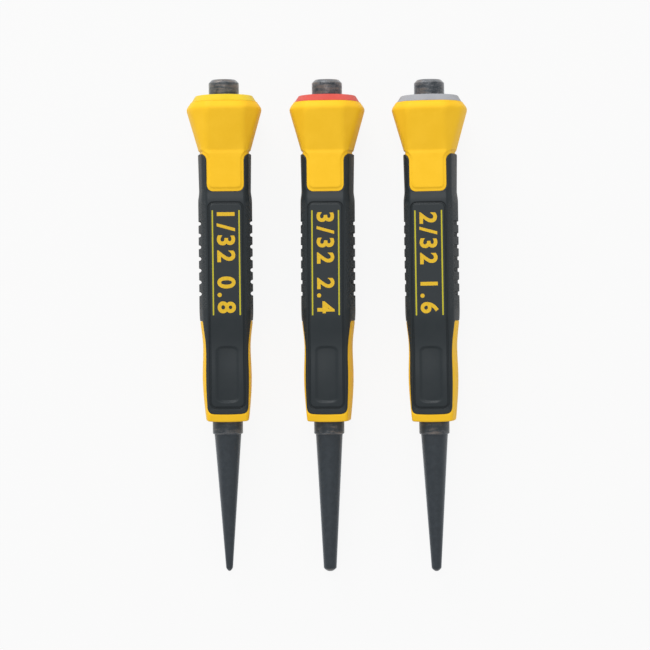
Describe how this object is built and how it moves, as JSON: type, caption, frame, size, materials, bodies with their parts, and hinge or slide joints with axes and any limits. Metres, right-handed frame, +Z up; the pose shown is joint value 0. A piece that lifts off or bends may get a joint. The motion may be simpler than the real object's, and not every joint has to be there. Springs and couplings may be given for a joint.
{
  "type": "nail setter set",
  "caption": "Row of nail setters: tapered steel punches with cupped tips, flared guards, soft grips with notches and coloured size rings.",
  "frame": {"origin": "centre of the row's box, on the surface that the setters lie on", "axes": "+Y from the tips to the strike faces, +Z up out of the front panels, +X from the small setter to the medium one"},
  "size_m": [0.0744, 0.13, 0.021],
  "materials": {
    "punch_steel": "black oxide over ground steel",
    "core_yellow": "satin moulded plastic",
    "grip_rubber": "matte moulded rubber",
    "ring_yellow": "satin moulded plastic",
    "ring_red": "satin moulded plastic",
    "ring_grey": "satin moulded plastic"
  },
  "bodies": {
    "large_setter": {"large_punch": "punch_steel", "large_core": "core_yellow", "large_grip": "grip_rubber", "large_size_ring": "ring_red"},
    "small_setter": {"small_punch": "punch_steel", "small_core": "core_yellow", "small_grip": "grip_rubber", "small_size_ring": "ring_yellow"},
    "medium_setter": {"medium_punch": "punch_steel", "medium_core": "core_yellow", "medium_grip": "grip_rubber", "medium_size_ring": "ring_grey"}
  },
  "joints": [
    {"name": "small_setter_lift", "type": "slide", "parent": "large_setter", "child": "small_setter", "axis": [0, 0, 1], "range_m": [0, 0.05]},
    {"name": "medium_setter_lift", "type": "slide", "parent": "large_setter", "child": "medium_setter", "axis": [0, 0, 1], "range_m": [0, 0.05]}
  ]
}
